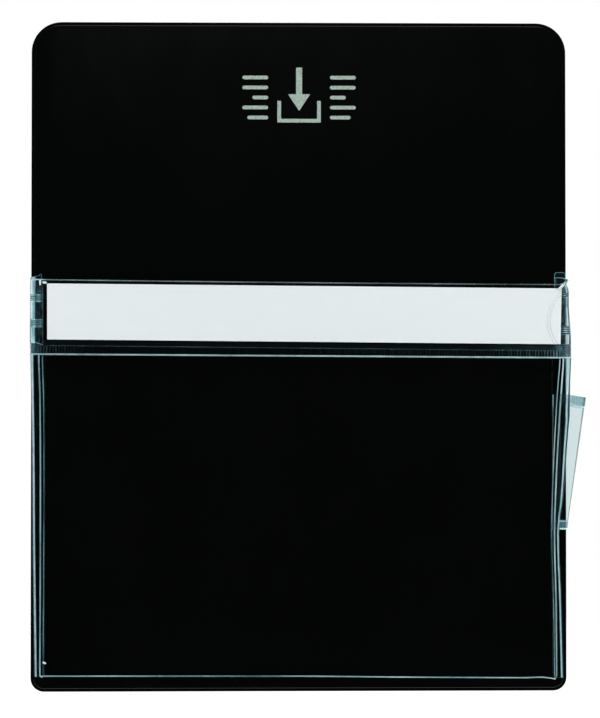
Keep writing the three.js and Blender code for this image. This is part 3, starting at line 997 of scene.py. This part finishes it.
def fold(name, side, *nodes):
    level, share = fold_grid(side)
    up = level + smooth(level, 200, MOUTH) * (FOLD_TOP[side](share) - MOUTH)
    middle, x = fold_section(side, up, share)
    inward = CREASE[side](up) - CREASE_ROUND - x
    core, cloud, milk = crease_haze(side, up, share, x, inward)
    cloud, milk, thick = press_welds(side, level, share, inward, core, cloud, milk)
    if side < 0:
        # The wrinkle isn't shaped; it is only painted as a pale highlight line.
        wrinkle = pucker(up, share, x)
        cloud = np.maximum(cloud, 0.5 * wrinkle)
        milk = np.maximum(milk, 0.75 * wrinkle)
    stock = Stock()
    stock.film(middle, thick, np.clip(cloud, 0, BRIGHTEST), milk)
    stock.bead(middle[-1], 0.22, 0.4 + 0.15 * side, 0.55 + 0.15 * side)
    if side > 0:
        tab(stock)
    made = stock.piece(name, CLEAR_FILM, CUT_EDGE)
    follow_fold(made)
    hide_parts(*nodes)


fold("left_fold", -1, "left_fold_flange", "left_rear_fold", "left_front_fold")
fold("right_fold", 1, "right_fold_flange", "right_rear_fold", "right_front_fold")

# %% [markdown]
# ## The label sleeve
# A second film crosses the pocket below its mouth. It is welded along its foot by a ribbed bar, hemmed at
# the mouth, and open at the right, where a round thumb notch lets the card be pushed out. The notch is cut
# by letting the end of each row of points follow the circle, which keeps the grid clean without a boolean.
# Clear film casts next to no shadow and the card under it stays bright, so shadow rays don't see the film.

# %% The window film with its thumb notch
WINDOW_OUT = 1.1
WINDOW_END = 156.2
NOTCH_HEIGHT = 213.6
NOTCH_RADIUS = 20.4
NOTCH_DEPTH = 7.3
NOTCH_LINES = (0.15, 1.8)


def notch_depth(up):
    reach = np.sqrt(np.clip(NOTCH_RADIUS**2 - (up - NOTCH_HEIGHT) ** 2, 0, None))
    return np.clip(reach - NOTCH_RADIUS + NOTCH_DEPTH, 0, None)


heights = np.linspace(BAND_TOP - 0.4, MOUTH, 60)
up, share = np.meshgrid(heights, np.linspace(0, 1, 60) ** 0.8, indexing="ij")
left = -SEAM[-1](up) - 0.6
x = left + (WINDOW_END - notch_depth(up) - left) * share
by_weld = 0.005 + 0.015 * smooth(x, 100, 145) + 0.12 * smooth(x, 150, 156)
by_weld = by_weld * (1 - smooth(up, 198.5, 200.5))
stock = Stock()
stock.film(on_pocket(x, up, WINDOW_OUT), FILM, by_weld)
notch_middle = WINDOW_END + NOTCH_RADIUS - NOTCH_DEPTH
turn = np.arccos(1 - NOTCH_DEPTH / NOTCH_RADIUS) * np.linspace(-0.95, 0.95, 40)
# Two faint teal lines follow the notch: one marks its cut edge, and the other is painted shade in place of
# the edge's shadow on the card, which this film doesn't cast.
fading = np.linspace(0.15, 0.04, len(turn))
for gap in NOTCH_LINES:
    x = notch_middle - (NOTCH_RADIUS + gap) * np.cos(turn)
    up = NOTCH_HEIGHT + (NOTCH_RADIUS + gap) * np.sin(turn)
    stock.bead(on_pocket(x, up, WINDOW_OUT + 0.1), 0.22, fading, 0.35)
label_film = stock.piece("label_film", CLEAR_FILM, CUT_EDGE)
label_film.visible_shadow = False
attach(label_film, "pocket_face")
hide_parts("label_window")

# %% The ribbed weld at its foot
WELD_RIB = 1.8
WELD_BACK, WELD_FRONT, WELD_PROUD = 0.22, 0.75, 0.16
WELD_HEIGHTS = np.array((0.3, 0.6, 1.0, 2.5, 3.7, 4.3, 4.7)) + LABEL_FOOT
WELD_HAZE_AND_HIGHLIGHT = through((-160, 0.07), (-140, 0.02), (-115, 0.005), (0, 0.005), (40, 0.014), (105, 0.014),
                    (118, 0.026), (128, 0.042), (137, 0.055), (145, 0.09), (154, 0.26), (160, 0.36))
x = np.arange(-SEAM[-1](LABEL_FOOT), SEAM[1](LABEL_FOOT), WELD_RIB / 6)
up, x = np.meshgrid(WELD_HEIGHTS, x, indexing="ij")
rib = np.cos(math.pi * x / WELD_RIB) ** 2
pressed = smooth(up - LABEL_FOOT, 0.3, 1.0) * smooth(BAND_TOP - up, 0, 1.0)
uneven = 1 + 0.45 * np.sin(2.1 * np.round(x / WELD_RIB))
# The rib crests are painted bright, a painted highlight that is strongest at the right end.
cloud = 0.0005 + WELD_HAZE_AND_HIGHLIGHT(x) * uneven * rib**4
stock = Stock()
front = on_pocket(x, up, WELD_FRONT + WELD_PROUD * rib * pressed)
stock.sheet(front, on_pocket(x, up, WELD_BACK), cloud, 0.2 + 0.6 * rib, edge_slot=0)
x = np.linspace(-CREASE[-1](LABEL_FOOT) + 0.6, CREASE[1](LABEL_FOOT) - 0.6, 120)
drift = 0.07 * np.sin(0.06 * x) + 0.05 * np.sin(0.17 * x)
# The bead along the weld's foot is painted nearly white, a painted highlight line.
stock.bead(on_pocket(x, LABEL_FOOT, 0.5), 0.5, 0.5 + 0.0006 * x + drift)
stock.bead(on_pocket(x[4:-4], BAND_TOP, 0.9), 0.2, 0.09 + 0.3 * drift[4:-4], 0.4)
label_weld = stock.piece("label_weld", CLEAR_FILM, CUT_EDGE)
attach(label_weld, "pocket_face")

# %% The hem at its mouth
HEM_BEAD = 0.36
# Small white dabs at the hem's ends are painted highlights.
HEM_GLINTS = (
    ((-151.0, -149.8), (233.4, 233.3), 0.7),
    ((154.2, 156.2), (232.6, 234.7), 0.75),
    ((-153.1, -153.0), (232.2, 234.4), 0.5),
)
x = np.linspace(-CREASE[-1](MOUTH) + 1.6, SEAM[1](MOUTH), 120)
# The hem bead is painted brighter towards its left end, a painted highlight.
left_end = smooth(-x, 148, 154.5)
cloud = 0.125 + 0.6 * left_end - 0.0003 * x + 0.04 * np.sin(0.09 * x)
stock = Stock()
stock.bead(on_pocket(x, MOUTH, 0.75), HEM_BEAD, cloud)
for across, heights, girth in HEM_GLINTS:
    stock.bead(on_pocket(np.linspace(*across, 6), np.linspace(*heights, 6), 1.3), girth, 1.0, 1.0)
label_hem = stock.piece("label_hem", CLEAR_FILM)
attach(label_hem, "pocket_face")

# %% [markdown]
# ## The title card
# A strip of white card lies in the label sleeve, a little crooked and pushed to the right. A card this
# size is never quite flat, so the grid bows by a few hundredths of a millimetre, enough to move the light.

# %% The card
CARD = 0.25
CARD_OUT = 0.55
CARD_TILT = -0.009
CARD_LEFT, CARD_RIGHT = -149.1, 155.2
CARD_FOOT, CARD_TOP = 200.1, 233.2
CARD_SKEW = 0.015
CARD_BOW = 0.05
share, up = np.meshgrid(np.linspace(0, 1, 50), np.linspace(CARD_FOOT, CARD_TOP, 12))
across = CARD_LEFT + (CARD_RIGHT - CARD_LEFT + CARD_SKEW * (up - CARD_FOOT)) * share
bow = np.sin(0.03 * across) * np.sin((up - CARD_FOOT) * math.pi / (CARD_TOP - CARD_FOOT))
stock = Stock()
stock.film(on_face(across, up + CARD_TILT * across, CARD_OUT + CARD_BOW * bow), CARD, edge_slot=0)
name_card = stock.piece("name_card", CARD_PAPER)
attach(name_card, "title_card")
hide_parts("title_card")

# %% [markdown]
# ## The pen sleeve
# A strip of film folded into a tapering tube and welded by its edges to the pocket's right side. Its mouth
# has a pressed hem and its foot a pressed band. The grid runs from the weld out along the back, round the
# outer fold and home along the puffed front, so the tube is one film, as the real one is. Shadow rays
# don't see it either, because light has to reach what lies under two films of it.

# %% The tube's shape
SLEEVE_FOOT = 88.5
SLEEVE_LENGTH = 80.0
SLEEVE_ROOT = 155.15
FOOT_WIDTH = 4.25
MOUTH_WIDTH = 15.05
MOUTH_SLOPE = 2.4
SLEEVE_OUT = 0.62
PUFF = 7.0
BEND = 0.25

levels = (np.linspace(0, 0.07, 12), np.linspace(0.08, 0.90, 40), np.linspace(0.91, 1, 16))
rise, turn = np.meshgrid(np.concatenate(levels), np.linspace(0, 1, 121), indexing="ij")
reach = 1 - np.abs(2 * turn - 1)
height = rise * (SLEEVE_LENGTH + 1.0 - MOUTH_SLOPE * reach)
width = FOOT_WIDTH + (MOUTH_WIDTH - FOOT_WIDTH) * rise
gap = 0.5 + PUFF * (rise * np.sin(math.pi * reach)) ** 0.6
bend = BEND * (1 - smooth(np.abs(2 * turn - 1), 0, 0.06))
out = SLEEVE_OUT + np.where(turn < 0.5, bend, gap - bend)
tube = on_face(SLEEVE_ROOT + width * reach, SLEEVE_FOOT + height, out)
print(f"the tube is {width.max():.1f} mm wide and {out.max():.1f} mm deep at its mouth")

# %% The tube's hem, foot and film
HEM = 5.4
FOOT_BAND = 4.5
PRESS_RIB = 1.6
from_mouth = (1 - rise) * SLEEVE_LENGTH
past_panel = smooth(width * reach, 5.0, 7.0)
hem = (1 - smooth(from_mouth, HEM - 0.5, HEM + 0.1)) * (0.12 + 0.88 * past_panel)
foot = 0.7 - 0.7 * smooth(height, FOOT_BAND - 0.3, FOOT_BAND + 0.3)
foot_edge = 1 - smooth(height, 0.5, 1.0)
foot_line = smooth(height, FOOT_BAND - 0.1, FOOT_BAND + 0.3)
foot_line = foot_line * (1 - smooth(height, FOOT_BAND + 0.6, FOOT_BAND + 1.0))
hem_line = smooth(from_mouth, HEM, HEM + 0.4) * (1 - smooth(from_mouth, HEM + 0.9, HEM + 1.4))
lines = hem_line * past_panel + foot_line + foot_edge
rib = np.cos(math.pi * width * reach / PRESS_RIB) ** 2
outer = smooth(reach, 0.93, 0.98)
corner = hem * smooth(reach, 0.84, 0.95)
# hem_line, foot_line and foot_edge are painted highlight lines, the rib crests of hem and foot are painted
# brighter, outer is a painted dark teal line of shade along the outer fold, and corner paints the hem
# darker near that fold.
cloud = 0.006 + (hem + foot) * (0.25 + 0.24 * rib) + 0.62 * outer
cloud = cloud + 0.6 * lines * (1 - outer) + 0.3 * corner
milk = 0.08 + (hem + foot) * (0.25 + 0.3 * rib) + 0.85 * lines - 0.3 * corner
thick = FILM + (hem + foot) * 0.2 * (0.5 + rib)
stock = Stock()
stock.film(tube, thick, cloud, milk, edge_slot=0)
pen_tube = stock.piece("pen_tube", SLEEVE_FILM)
pen_tube.visible_shadow = False
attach(pen_tube, "pen_sleeve")
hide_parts("pen_sleeve_back", "pen_sleeve_front")

# %% Its weld on the face
STRIP_INNER, STRIP_OUTER = 150.9, 155.1
FOOT_BEAD_ENDS = (151.0, 153.2)
heights = np.linspace(0, SLEEVE_LENGTH, 40) + SLEEVE_FOOT
up, x = np.meshgrid(heights, np.linspace(STRIP_INNER, STRIP_OUTER, 6), indexing="ij")
stock = Stock()
stock.film(on_face(x, up, SLEEVE_OUT), FILM, 0.015)
hem_foot = SLEEVE_FOOT + SLEEVE_LENGTH - 10
hemmed = 0.3 * smooth(heights, hem_foot, hem_foot + 4)
stock.bead(on_face(STRIP_INNER, heights, SLEEVE_OUT), 0.22, 0.34 + hemmed, 0.45 + hemmed)
x = np.linspace(*FOOT_BEAD_ENDS, 6)
for level in (0.4, FOOT_BAND):
    stock.bead(on_face(x, SLEEVE_FOOT + level, SLEEVE_OUT + 0.2), 0.2, 0.3, 0.6)
pen_tube_weld = stock.piece("pen_tube_weld", CLEAR_FILM, CUT_EDGE)
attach(pen_tube_weld, "pocket_face")
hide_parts("pen_sleeve_flange")
